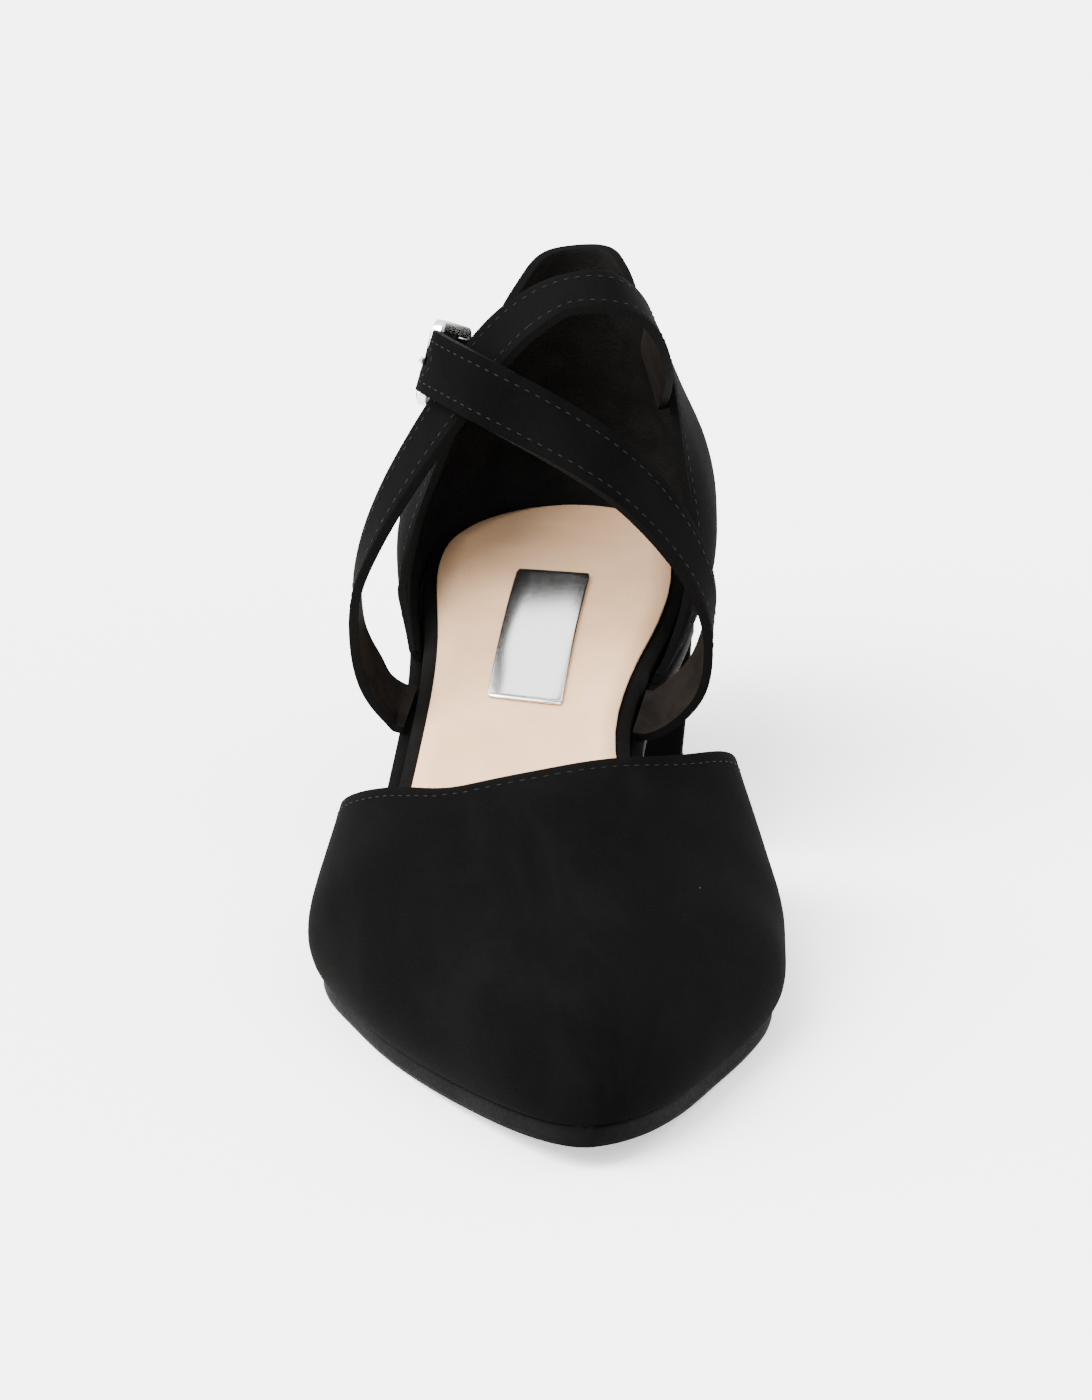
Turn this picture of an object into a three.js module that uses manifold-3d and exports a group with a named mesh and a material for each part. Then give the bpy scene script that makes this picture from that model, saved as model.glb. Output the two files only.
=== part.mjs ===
// Ankle-strap court shoe with a covered block heel, right foot.
// Millimetres, +Z up, toe towards -Y, inner side of the foot towards +X.
// The origin lies on the floor under the heel, on the line from the heel's back to the toe's tip.

import * as THREE from 'three';
import * as BufferGeometryUtils from 'three/addons/utils/BufferGeometryUtils.js';
import Module from 'manifold-3d';

const wasm = await Module();
wasm.setup();

// Last
const lastLength = 238;        // feather line, back of the heel to the tip of the toe
const treadWidth = 81;         // feather line across the ball
const heelSeatWidth = 53;      // feather line across the heel
const heelLift = 41.4;         // feather line above the floor at the back
const toeSpring = 4.4;         // sole above the floor at the tip
const throatHeight = 38.5;     // vamp above the feather line at the throat
const counterHeight = 55.6;    // quarter above the feather line at the back

// Materials and clearances
const gap = 0.3;               // between pieces that touch on the real shoe
const upperWall = 1.6;
const soleThickness = 4;
const waistThickness = 3;
const soleMargin = 0.7;        // sole beyond the feather line
const insoleThickness = 2.2;
const sockThickness = 0.8;
const sockInset = 4.6;         // sock's edge inside the feather line

// Heel and plate
const breast = 50;             // front of the heel, from the back of the feather line
const topPieceThickness = 6;
const heelTaper = 0.92;
const plateLength = 38;
const plateWidth = 14.1;
const plateThickness = 0.5;
const plateFromHeel = 60;      // plate's middle, from the back of the feather line
const plateAside = 1.5;        // plate's middle, outward from the sock's middle
const plateTurn = 8.5;         // degrees

// Straps and buckle
const strapWidth = 11.6;
const strapThickness = 1.8;
const strapRoot = 79;          // where the inner strap leaves the waist, from the back
const outerRootBack = 1.5;     // the outer root lies this much further back
const wire = 1.8;              // buckle's bars
const prongRadius = 0.6;
const prongAhead = 4.4;        // where the prong goes through the strap, ahead of the rear bar
const buckleLength = 12;       // between the middles of its two bars
const buckleTilt = 4;            // how far the front bar stands out from the rear bar
const buckleFromHeel = 51.5;
const strapSlope = 20;         // degrees, the strap climbs from the quarter to the buckle
const holeRadius = 1;
const holeSpacing = 8;
const keeperWidth = 5;
const keeperThickness = 1.2;

// Outline of the feather line, each side as a share of the local width
const outline = [
  { at: 0, inner: -0.02, outer: -0.02 },
  { at: 0.02, inner: 0.245, outer: -0.292 },
  { at: 0.06, inner: 0.368, outer: -0.462 },
  { at: 0.12, inner: 0.421, outer: -0.572 },
  { at: 0.18, inner: 0.419, outer: -0.6 },
  { at: 0.25, inner: 0.362, outer: -0.589 },
  { at: 0.31, inner: 0.245, outer: -0.58 },
  { at: 0.37, inner: 0.178, outer: -0.564 },
  { at: 0.43, inner: 0.192, outer: -0.54 },
  { at: 0.5, inner: 0.268, outer: -0.528 },
  { at: 0.57, inner: 0.35, outer: -0.556 },
  { at: 0.64, inner: 0.41, outer: -0.568 },
  { at: 0.7, inner: 0.415, outer: -0.512 },
  { at: 0.77, inner: 0.362, outer: -0.434 },
  { at: 0.84, inner: 0.283, outer: -0.334 },
  { at: 0.91, inner: 0.207, outer: -0.22 },
  { at: 0.96, inner: 0.134, outer: -0.13 },
  { at: 0.985, inner: 0.079, outer: -0.072 },
  { at: 1, inner: 0.004, outer: 0.004 },
];

// Height of the feather line, as a share of the rise from ball to heel
const seatRise = [
  { at: 0, rise: 1 },
  { at: 0.1, rise: 0.985 },
  { at: 0.17, rise: 0.941 },
  { at: 0.244, rise: 0.826 },
  { at: 0.328, rise: 0.6 },
  { at: 0.412, rise: 0.345 },
  { at: 0.496, rise: 0.144 },
  { at: 0.58, rise: 0.032 },
  { at: 0.622, rise: 0 },
  { at: 1, rise: 0 },
];
const treadFront = 0.745;      // share of the length where the toe spring starts

const vampRise = 1.08;         // above one, the vamp is lower between its edge and its ridge
const shoulder = 0.28;         // share by which the vamp is narrower near its ridge than an ellipse

// Vamp: height as a share of the throat's, ridge and bulges as shares of the tread width
const vampForm = [
  { at: 0.42, height: 1.52, ridge: 0.025, innerBulge: 0.125, outerBulge: 0.03 },
  { at: 0.5, height: 1.33, ridge: 0.022, innerBulge: 0.085, outerBulge: 0.032 },
  { at: 0.57, height: 1.1, ridge: 0.012, innerBulge: 0.05, outerBulge: 0.02 },
  { at: 0.61, height: 1, ridge: 0, innerBulge: 0.034, outerBulge: 0.023 },
  { at: 0.69, height: 0.83, ridge: -0.006, innerBulge: 0.02, outerBulge: 0.03 },
  { at: 0.77, height: 0.69, ridge: 0, innerBulge: 0.03, outerBulge: 0.034 },
  { at: 0.84, height: 0.595, ridge: 0.006, innerBulge: 0.027, outerBulge: 0.032 },
  { at: 0.9, height: 0.505, ridge: 0.007, innerBulge: 0.022, outerBulge: 0.025 },
  { at: 0.95, height: 0.4, ridge: 0.006, innerBulge: 0.016, outerBulge: 0.017 },
  { at: 0.98, height: 0.275, ridge: 0.005, innerBulge: 0.01, outerBulge: 0.01 },
  { at: 1, height: 0, ridge: 0.004, innerBulge: 0, outerBulge: 0 },
];

// Vamp's top line, from the outer feather line (-1) over the ridge (0) to the inner one (1)
const topline = [
  { across: -1, at: 0.445 },
  { across: -0.5, at: 0.58 },
  { across: -0.3, at: 0.624 },
  { across: -0.12, at: 0.631 },
  { across: 0, at: 0.626 },
  { across: 0.25, at: 0.6 },
  { across: 0.55, at: 0.525 },
  { across: 1, at: 0.42 },
];

// Quarter: top line over the way round from the back (0) to a wing's end (1), as a share of its height
const innerQuarterEnd = 0.294; // share of the length where the inner wing ends
const outerQuarterEnd = 0.268;
const quarterTop = [
  { round: 0, inner: 1, outer: 1 },
  { round: 0.12, inner: 1.01, outer: 0.99 },
  { round: 0.24, inner: 0.99, outer: 0.938 },
  { round: 0.34, inner: 0.942, outer: 0.86 },
  { round: 0.43, inner: 0.873, outer: 0.8 },
  { round: 0.55, inner: 0.815, outer: 0.765 },
  { round: 0.66, inner: 0.805, outer: 0.755 },
  { round: 0.757, inner: 0.79, outer: 0.75 },
  { round: 0.83, inner: 0.68, outer: 0.66 },
  { round: 0.883, inner: 0.507, outer: 0.5 },
  { round: 0.933, inner: 0.29, outer: 0.29 },
  { round: 0.975, inner: 0.11, outer: 0.11 },
  { round: 1, inner: 0.03, outer: 0.03 },
];

// Quarter: how far its wall stands out from the feather line going up, as shares of the seat width
const quarterForm = [
  { up: 0, inner: 0, outer: 0, back: 0 },
  { up: 0.09, inner: 0.057, outer: 0.045, back: 0.049 },
  { up: 0.19, inner: 0.079, outer: 0.058, back: 0.075 },
  { up: 0.28, inner: 0.075, outer: 0.04, back: 0.085 },
  { up: 0.44, inner: 0.038, outer: -0.04, back: 0.072 },
  { up: 0.6, inner: -0.04, outer: -0.12, back: 0.036 },
  { up: 0.73, inner: -0.102, outer: -0.2, back: 0.004 },
  { up: 0.81, inner: -0.142, outer: -0.25, back: -0.022 },
  { up: 1, inner: -0.22, outer: -0.34, back: -0.08 },
];

const innerWingEase = 0.35;    // the inner wing's end leans in less, by this share

// Straps: across and forward in shares of the tread width and the length, up in shares of the
// counter's height over the waist, and the way the outer face looks: turn in degrees from the toe
// towards the inner side, tilt in degrees above level
const frontStrapWay = [
  { across: 0.262, along: 0.347, up: 0.16, turn: 106, tilt: -28 },
  { across: 0.292, along: 0.353, up: 0.304, turn: 92, tilt: -5 },
  { across: 0.294, along: 0.357, up: 0.448, turn: 80, tilt: 12 },
  { across: 0.256, along: 0.361, up: 0.61, turn: 67, tilt: 22 },
  { across: 0.191, along: 0.366, up: 0.764, turn: 50, tilt: 31 },
  { across: 0.101, along: 0.37, up: 0.912, turn: 32, tilt: 36 },
  { across: 0, along: 0.37, up: 1.023, turn: 11, tilt: 36 },
  { across: -0.102, along: 0.362, up: 1.104, turn: -8, tilt: 31 },
  { across: -0.203, along: 0.353, up: 1.175, turn: -30, tilt: 25 },
  { across: -0.281, along: 0.326, up: 1.205, turn: -52, tilt: 18 },
];
const ankleStrapWay = [
  { across: -0.475, along: 0.338, up: 0.165, turn: -110, tilt: -28 },
  { across: -0.508, along: 0.34, up: 0.304, turn: -97, tilt: -8 },
  { across: -0.513, along: 0.331, up: 0.46, turn: -90, tilt: 3 },
  { across: -0.484, along: 0.324, up: 0.61, turn: -81, tilt: 12 },
  { across: -0.43, along: 0.318, up: 0.777, turn: -73, tilt: 20 },
  { across: -0.358, along: 0.313, up: 0.95, turn: -66, tilt: 27 },
  { across: -0.277, along: 0.309, up: 1.125, turn: -58, tilt: 36 },
  { across: -0.205, along: 0.306, up: 1.27, turn: -47, tilt: 48 },
  { across: -0.132, along: 0.305, up: 1.377, turn: -34, tilt: 61 },
  { across: -0.046, along: 0.306, up: 1.455, turn: -17, tilt: 69 },
  { across: 0.028, along: 0.31, up: 1.48, turn: 6, tilt: 72 },
  { across: 0.1, along: 0.304, up: 1.455, turn: 34, tilt: 68 },
  { across: 0.155, along: 0.284, up: 1.36, turn: 62, tilt: 52 },
  { across: 0.182, along: 0.25, up: 1.215, turn: 78, tilt: 32 },
  { across: 0.177, along: 0.208, up: 1.08, turn: 84, tilt: 25 },
];

// Helper functions

const degrees = Math.PI / 180;

// Smooth reading of a table: a column's value where the key column has the given value
function read(table, key, column, value, spread = (v) => v) {
  const keys = table.map((row) => spread(row[key]));
  const values = table.map((row) => row[column]);
  const at = spread(value);
  const last = keys.length - 1;
  const slopes = [];
  for (let i = 0; i < last; i += 1) {
    slopes.push((values[i + 1] - values[i]) / (keys[i + 1] - keys[i]));
  }
  const tangents = values.map((unused, i) => {
    if (i === 0) return slopes[0];
    if (i === last) return slopes[last - 1];
    if (slopes[i - 1] * slopes[i] <= 0) return 0;
    const before = keys[i] - keys[i - 1];
    const after = keys[i + 1] - keys[i];
    const first = 2 * after + before;
    const second = after + 2 * before;
    return (first + second) / (first / slopes[i - 1] + second / slopes[i]);
  });
  let i = 0;
  while (i < last - 1 && at > keys[i + 1]) i += 1;
  const width = keys[i + 1] - keys[i];
  const t = THREE.MathUtils.clamp((at - keys[i]) / width, 0, 1);
  const t2 = t * t;
  const t3 = t2 * t;
  return (2 * t3 - 3 * t2 + 1) * values[i] + (t3 - 2 * t2 + t) * width * tangents[i]
    + (3 * t2 - 2 * t3) * values[i + 1] + (t3 - t2) * width * tangents[i + 1];
}

// Angle round the foot for a share of the length, which makes both ends round
const roundAngle = (at) => Math.acos(1 - 2 * THREE.MathUtils.clamp(at, 0, 1));
const shareAt = (angle) => (1 - Math.cos(angle)) / 2;

// A place in the shoe from the distance in front of the heel's back
const heelCentre = 0.126 * lastLength;
const place = (across, fromHeel, up) => new THREE.Vector3(across, heelCentre - fromHeel, up);

function localWidth(at) {
  return THREE.MathUtils.lerp(heelSeatWidth, treadWidth, THREE.MathUtils.smoothstep(at, 0.25, 0.6));
}

function sideAt(at, side) {
  const column = side > 0 ? 'inner' : 'outer';
  return localWidth(at) * read(outline, 'at', column, at, roundAngle);
}

// A point on the outline moved out by a margin, as [across, fromHeel]
function edgePoint(at, side, margin) {
  const angle = roundAngle(at);
  const step = 0.004;
  const low = shareAt(Math.max(angle - step, 0));
  const high = shareAt(Math.min(angle + step, Math.PI));
  let run = (high - low) * lastLength;
  let out = (sideAt(high, side) - sideAt(low, side)) * side;
  if (angle < step || angle > Math.PI - step) run = 0;
  if (angle < step) out = 1;
  if (angle > Math.PI - step) out = -1;
  const size = Math.hypot(run, out);
  return [sideAt(at, side) + (side * run * margin) / size, at * lastLength - (out * margin) / size];
}

// Height of the feather line at a distance in front of the heel's back
function seatHeight(fromHeel) {
  const at = fromHeel / lastLength;
  const rise = read(seatRise, 'at', 'rise', at);
  const spring = Math.max(0, (at - treadFront) / (1 - treadFront));
  return soleThickness + rise * (heelLift - soleThickness) + toeSpring * spring ** 1.9;
}

// A closed solid from two grids of points that lie face to face
function gridSolid(front, back) {
  const rows = front.length;
  const columns = front[0].length;
  const position = [];
  for (const grid of [front, back]) {
    for (const row of grid) {
      for (const point of row) position.push(point.x, point.y, point.z);
    }
  }
  const frontAt = (i, j) => i * columns + j;
  const backAt = (i, j) => rows * columns + i * columns + j;
  const index = [];
  const quad = (a, b, c, d) => index.push(a, b, c, a, c, d);
  for (let i = 0; i < rows - 1; i += 1) {
    for (let j = 0; j < columns - 1; j += 1) {
      quad(frontAt(i, j), frontAt(i + 1, j), frontAt(i + 1, j + 1), frontAt(i, j + 1));
      quad(backAt(i, j), backAt(i, j + 1), backAt(i + 1, j + 1), backAt(i + 1, j));
    }
  }
  for (let i = 0; i < rows - 1; i += 1) {
    quad(frontAt(i, 0), backAt(i, 0), backAt(i + 1, 0), frontAt(i + 1, 0));
    const last = columns - 1;
    quad(frontAt(i + 1, last), backAt(i + 1, last), backAt(i, last), frontAt(i, last));
  }
  for (let j = 0; j < columns - 1; j += 1) {
    quad(frontAt(0, j + 1), backAt(0, j + 1), backAt(0, j), frontAt(0, j));
    quad(frontAt(rows - 1, j), backAt(rows - 1, j), backAt(rows - 1, j + 1), frontAt(rows - 1, j + 1));
  }
  return tidy(position, index);
}

// Joins equal points, drops triangles without area and turns the faces outwards
function tidy(position, index) {
  let geometry = new THREE.BufferGeometry();
  geometry.setAttribute('position', new THREE.Float32BufferAttribute(position, 3));
  geometry.setIndex(index);
  geometry = BufferGeometryUtils.mergeVertices(geometry, 1e-4);
  const points = geometry.attributes.position;
  const kept = [];
  let volume = 0;
  const a = new THREE.Vector3();
  const b = new THREE.Vector3();
  const c = new THREE.Vector3();
  const old = geometry.index.array;
  for (let k = 0; k < old.length; k += 3) {
    const [i, j, l] = [old[k], old[k + 1], old[k + 2]];
    if (i === j || j === l || i === l) continue;
    kept.push(i, j, l);
    const turned = b.fromBufferAttribute(points, j).cross(c.fromBufferAttribute(points, l));
    volume += a.fromBufferAttribute(points, i).dot(turned);
  }
  if (volume < 0) kept.reverse();
  geometry.setIndex(kept);
  return geometry;
}

function solid(geometry) {
  const bare = geometry.clone();
  bare.deleteAttribute('normal');
  bare.deleteAttribute('uv');
  const merged = BufferGeometryUtils.mergeVertices(bare, 1e-4);
  const vertProperties = new Float32Array(merged.attributes.position.array);
  const triVerts = new Uint32Array(merged.index.array);
  return new wasm.Manifold(new wasm.Mesh({ numProp: 3, vertProperties, triVerts }));
}

function cut(geometry, ...tools) {
  let result = solid(geometry);
  for (const tool of tools) result = result.subtract(solid(tool));
  const mesh = result.getMesh();
  const made = new THREE.BufferGeometry();
  made.setAttribute('position', new THREE.Float32BufferAttribute(mesh.vertProperties, 3));
  made.setIndex(new THREE.Uint32BufferAttribute(mesh.triVerts, 1));
  return made;
}

// Plates that follow the foot's bottom: sole, insole and sock

const plateSteps = 44;
const plateColumns = 6;

function stations(from, to) {
  const list = [from];
  for (let k = 0; k <= plateSteps; k += 1) {
    const at = shareAt((Math.PI * k) / plateSteps);
    if (at > from + 0.001 && at < to - 0.001) list.push(at);
  }
  list.push(to);
  return list;
}

function plateGrid(ats, margin, height) {
  return ats.map((at) => {
    const outer = edgePoint(at, -1, margin);
    const inner = edgePoint(at, 1, margin);
    const row = [];
    for (let j = 0; j < plateColumns; j += 1) {
      const share = j / (plateColumns - 1);
      const across = THREE.MathUtils.lerp(outer[0], inner[0], share);
      const fromHeel = THREE.MathUtils.lerp(outer[1], inner[1], share);
      row.push(place(across, fromHeel, height(fromHeel)));
    }
    return row;
  });
}

function soleBottom(fromHeel) {
  const rise = read(seatRise, 'at', 'rise', fromHeel / lastLength);
  const thinning = THREE.MathUtils.smoothstep(rise, 0, 0.3);
  return seatHeight(fromHeel) - THREE.MathUtils.lerp(soleThickness, waistThickness, thinning);
}

function outsole() {
  const ats = stations((breast + gap) / lastLength, 1);
  return gridSolid(plateGrid(ats, soleMargin, seatHeight), plateGrid(ats, soleMargin, soleBottom));
}

const insoleTop = gap + insoleThickness;
const sockTop = insoleTop + gap + sockThickness;

function insole() {
  const ats = stations(0, 1);
  const margin = -upperWall - gap;
  return gridSolid(
    plateGrid(ats, margin, (s) => seatHeight(s) + insoleTop),
    plateGrid(ats, margin, (s) => seatHeight(s) + gap),
  );
}

function sock() {
  const ats = stations(0, 1);
  return gridSolid(
    plateGrid(ats, -sockInset, (s) => seatHeight(s) + sockTop),
    plateGrid(ats, -sockInset, (s) => seatHeight(s) + insoleTop + gap),
  );
}

// The plate follows the sock's slope
function sockPlate() {
  const steps = 8;
  const turn = plateTurn * degrees;
  const middle = (sideAt(plateFromHeel / lastLength, 1) + sideAt(plateFromHeel / lastLength, -1)) / 2;
  const centre = middle - plateAside;
  const grid = (lift) => {
    const rows = [];
    for (let i = 0; i <= steps; i += 1) {
      const along = plateLength * (i / steps - 0.5);
      rows.push([-0.5, 0.5].map((share) => {
        const side = share * plateWidth;
        const across = centre + side * Math.cos(turn) - along * Math.sin(turn);
        const fromHeel = plateFromHeel + along * Math.cos(turn) + side * Math.sin(turn);
        return place(across, fromHeel, seatHeight(fromHeel) + sockTop + lift);
      }));
    }
    return rows;
  };
  return gridSolid(grid(gap + plateThickness), grid(gap));
}

// Block heel and its top piece

const heelForward = 0.014 * lastLength;

function heelGrid(ats, margin, taper, height) {
  const middle = (sideAt(0.12, 1) + sideAt(0.12, -1)) / 2;
  return plateGrid(ats, margin, seatHeight).map((row) => row.map((point) => {
    const across = middle + (point.x - middle) * taper;
    const fromHeel = (heelCentre - point.y) * taper + heelForward * ((1 - taper) / (1 - heelTaper));
    return place(across, fromHeel, height(point));
  }));
}

function heel() {
  const ats = stations(0, breast / lastLength);
  return gridSolid(
    heelGrid(ats, 0, 1, (point) => point.z),
    heelGrid(ats, 0, heelTaper, () => topPieceThickness + gap),
  );
}

function topPiece() {
  const ats = stations(0, breast / lastLength);
  return gridSolid(
    heelGrid(ats, 0, heelTaper, () => topPieceThickness),
    heelGrid(ats, 0, heelTaper, () => 0),
  );
}

// Other face of an upper: one face moved by the wall, level at the feather line

function otherFace(grid, isFeather, wall) {
  const rows = grid.length;
  const columns = grid[0].length;
  return grid.map((row, i) => row.map((point, j) => {
    const before = grid[Math.max(i - 1, 0)][j];
    const after = grid[Math.min(i + 1, rows - 1)][j];
    const left = row[Math.max(j - 1, 0)];
    const right = row[Math.min(j + 1, columns - 1)];
    const normal = after.clone().sub(before).cross(right.clone().sub(left));
    return { point, normal, feather: isFeather(i, j) };
  })).map((row) => row.map(({ point, normal, feather }) => {
    if (feather) normal.setZ(0);
    const moved = point.clone().addScaledVector(normal.normalize(), -wall);
    const floor = seatHeight(heelCentre - moved.y) + gap;
    return moved.setZ(Math.max(moved.z, floor));
  }));
}

// Vamp

const vampRows = 24;
const vampColumns = 30;

function vampPoint(across, at) {
  const side = across < 0 ? -1 : 1;
  const value = (column) => read(vampForm, 'at', column, at, roundAngle);
  const ridge = value('ridge') * treadWidth;
  const height = value('height') * throatHeight;
  const bulge = value(side > 0 ? 'innerBulge' : 'outerBulge') * treadWidth;
  const feather = Math.max(side * (sideAt(at, side) - ridge), 0);
  const reach = feather + bulge;
  const start = reach > 0.01 ? -Math.acos(Math.min(feather / reach, 1)) : 0;
  const angle = Math.PI / 2 - Math.abs(across) * (Math.PI / 2 - start);
  const climb = Math.max((Math.sin(angle) - Math.sin(start)) / (1 - Math.sin(start)), 0);
  const up = height * climb ** vampRise;
  const out = Math.cos(angle) * (1 - (angle > 0 ? shoulder * Math.sin(angle) ** 2 : 0));
  const fromHeel = at * lastLength;
  return place(ridge + side * reach * out, fromHeel, seatHeight(fromHeel) + gap + up);
}

function vamp() {
  const lining = [];
  for (let j = 0; j <= vampColumns; j += 1) {
    const across = -1 + (2 * j) / vampColumns;
    const toLine = Math.PI - roundAngle(read(topline, 'across', 'at', across));
    const line = [];
    for (let i = 0; i <= vampRows; i += 1) {
      const at = shareAt(Math.PI - toLine * (1 - i / vampRows));
      line.push(vampPoint(across, at));
    }
    lining.push(line);
  }
  const outside = otherFace(lining, (i) => i === 0 || i === vampColumns, upperWall);
  const tip = vampRows;
  for (const line of outside) {
    line[tip] = lining[0][tip].clone().sub(new THREE.Vector3(0, upperWall, 0));
  }
  return gridSolid(lining, outside);
}

// Quarter

const quarterColumns = 44;
const quarterRows = 11;

// Share of the length at a part of the way round from the back (0) to a wing's end (-1 or 1)
function wingShare(round) {
  return shareAt(Math.abs(round) * roundAngle(round < 0 ? outerQuarterEnd : innerQuarterEnd));
}

// A point on the quarter's outer face: round from -1 to 1, up as a height over the feather line
function quarterPoint(round, up) {
  const side = round < 0 ? -1 : 1;
  const at = wingShare(round);
  const share = up / counterHeight;
  const base = edgePoint(at, side, 0);
  const ahead = edgePoint(at, side, 1);
  const sideways = (ahead[0] - base[0]) ** 2;
  const lean = side > 0 ? 1 - innerWingEase * THREE.MathUtils.smoothstep(round, 0.5, 0.76) : 1;
  const stand = read(quarterForm, 'up', side > 0 ? 'inner' : 'outer', share);
  const flank = stand < 0 ? stand * lean : stand;
  const back = read(quarterForm, 'up', 'back', share);
  const out = THREE.MathUtils.lerp(back, flank, sideways) * heelSeatWidth;
  const [across, fromHeel] = edgePoint(at, side, out);
  return place(across, fromHeel, seatHeight(at * lastLength) + gap + up);
}

function quarterHeight(round) {
  return counterHeight * read(quarterTop, 'round', round < 0 ? 'outer' : 'inner', Math.abs(round));
}

function quarter() {
  const outside = [];
  for (let j = 0; j <= quarterColumns; j += 1) {
    const round = -1 + (2 * j) / quarterColumns;
    const line = [];
    for (let i = 0; i <= quarterRows; i += 1) {
      line.push(quarterPoint(round, (quarterHeight(round) * i) / quarterRows));
    }
    outside.push(line);
  }
  const inside = otherFace(outside, (i, j) => j === 0, -upperWall);
  return gridSolid(outside, inside);
}

// Straps

const layer = strapThickness + gap;

// The way a face looks, from its turn and tilt
function facing(turn, tilt) {
  const level = Math.cos(tilt * degrees);
  return new THREE.Vector3(
    Math.sin(turn * degrees) * level,
    -Math.cos(turn * degrees) * level,
    Math.sin(tilt * degrees),
  );
}

const waistHeight = seatHeight(strapRoot);

function wayRow({ across, along, up, turn, tilt }) {
  return {
    point: place(across * treadWidth, along * lastLength, waistHeight + up * counterHeight),
    face: facing(turn, tilt),
  };
}

// A strap's start between sole and insole, lying on the sole beside the insole's edge
function rootRows(side, from) {
  const at = from / lastLength;
  const slope = (seatHeight(from - 1) - seatHeight(from + 1)) / 2;
  const face = new THREE.Vector3(0, slope, -1).normalize();
  const row = (margin, lift, lean) => {
    const [across, fromHeel] = edgePoint(at, side, margin);
    const up = seatHeight(fromHeel) + gap + strapThickness / 2 + lift;
    return { point: place(across, fromHeel, up), face: face.clone().setX(side * lean).normalize() };
  };
  return [row(-upperWall / 2, 0.1, 0), row(soleMargin + 1, 0.5, 0.2)];
}

// A solid band along rows of points and outward faces
function band(rows, width, thickness, steps) {
  const centre = new THREE.CatmullRomCurve3(rows.map((row) => row.point));
  const faces = new THREE.CatmullRomCurve3(rows.map((row) => row.face));
  const count = (rows.length - 1) * steps;
  const front = [];
  const back = [];
  for (let i = 0; i <= count; i += 1) {
    const { point, face, side } = bandFrame(centre, faces, i / count);
    const line = (lift) => [-0.5, 0, 0.5].map((share) => (
      point.clone().addScaledVector(side, share * width).addScaledVector(face, lift)
    ));
    front.push(line(thickness / 2));
    back.push(line(-thickness / 2));
  }
  return gridSolid(front, back);
}

function bandFrame(centre, faces, t) {
  const point = centre.getPoint(t);
  const along = centre.getTangent(t);
  const side = faces.getPoint(t).cross(along).normalize();
  const face = along.clone().cross(side).normalize();
  return { point, face, side, along };
}

// Buckle's own axes: forward along the strap, up its width and out from the foot
const outward = facing(-99, 11);
const level = new THREE.Vector3(0, 0, 1).cross(outward).normalize();
const forward = level.clone().applyAxisAngle(outward, strapSlope * degrees);
const upward = outward.clone().cross(forward).normalize();
const strapLevel = heelLift + 0.81 * counterHeight;
const rearBar = place(-0.432 * heelSeatWidth, buckleFromHeel, strapLevel);
const atBuckle = (ahead, out, up = 0) => rearBar.clone()
  .addScaledVector(forward, ahead)
  .addScaledVector(outward, out)
  .addScaledVector(upward, up);

const foldRadius = wire * 0.72 + gap + strapThickness / 2;

// A row of a strap sewn to the quarter: out is the strap's middle from the quarter's outer face
function sewnRow(round, level, out) {
  const side = Math.sign(round);
  const at = wingShare(round);
  const base = seatHeight(at * lastLength) + gap;
  const low = quarterPoint(round, level - strapWidth / 2 - base);
  const high = quarterPoint(round, level + strapWidth / 2 - base);
  const behind = quarterPoint(round - side * 0.02, level - base);
  const ahead = quarterPoint(round + side * 0.02, level - base).sub(behind);
  const face = high.clone().sub(low).cross(ahead).multiplyScalar(side).normalize();
  return { point: low.lerp(high, 0.5).addScaledVector(face, out), face };
}

const sewnLevel = heelLift + 0.66 * counterHeight;

const ankleStrapRows = [
  ...rootRows(-1, strapRoot - outerRootBack),
  ...ankleStrapWay.map(wayRow),
  sewnRow(0.72, sewnLevel + 3.5, -upperWall - layer / 2 - 1.6),
  sewnRow(0.62, sewnLevel + 2, -upperWall - layer / 2 - 0.5),
];

// The tab leaves the outer quarter, goes round the buckle's rear bar and comes back inside
const foldTurn = Math.SQRT1_2 * foldRadius;
const tabRows = [
  sewnRow(-0.48, sewnLevel - 1, layer / 2 + 0.5),
  sewnRow(-0.56, sewnLevel, layer / 2 + 0.5),
  sewnRow(-0.66, sewnLevel + 2, layer / 2 + 0.6),
  { point: atBuckle(-12, foldRadius - 0.2), face: outward },
  { point: atBuckle(-5, foldRadius), face: outward },
  { point: atBuckle(0, foldRadius), face: outward },
  { point: atBuckle(foldTurn, foldTurn), face: outward.clone().add(forward).normalize() },
  { point: atBuckle(foldRadius, 0), face: forward },
  { point: atBuckle(foldTurn, -foldTurn), face: forward.clone().sub(outward).normalize() },
  { point: atBuckle(0, -foldRadius), face: outward.clone().negate() },
  { point: atBuckle(-4, -foldRadius), face: outward.clone().negate() },
];

const prongRow = 16;           // front strap's row at the prong
const frontStrapRows = [
  ...rootRows(1, strapRoot),
  ...frontStrapWay.map(wayRow),
  {
    point: atBuckle(buckleLength + 5.5, buckleTilt),
    face: outward.clone().addScaledVector(forward, 0.45).normalize(),
  },
  { point: atBuckle(buckleLength + 2.2, buckleTilt - foldRadius + 0.1), face: outward },
  { point: atBuckle(buckleLength, buckleTilt - foldRadius), face: outward },
  { point: atBuckle(buckleLength * 0.65, foldRadius + 0.55 * layer), face: outward },
  { point: atBuckle(prongAhead, foldRadius + 0.9 * layer), face: outward },
  { point: atBuckle(0, foldRadius + layer), face: outward },
  { point: atBuckle(-6, foldRadius + layer), face: outward },
  { point: atBuckle(-12, foldRadius + layer), face: outward },
  sewnRow(-0.66, sewnLevel + 2, 1.5 * layer + 2.8),
  sewnRow(-0.56, sewnLevel, 1.5 * layer + 1.4),
];

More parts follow.
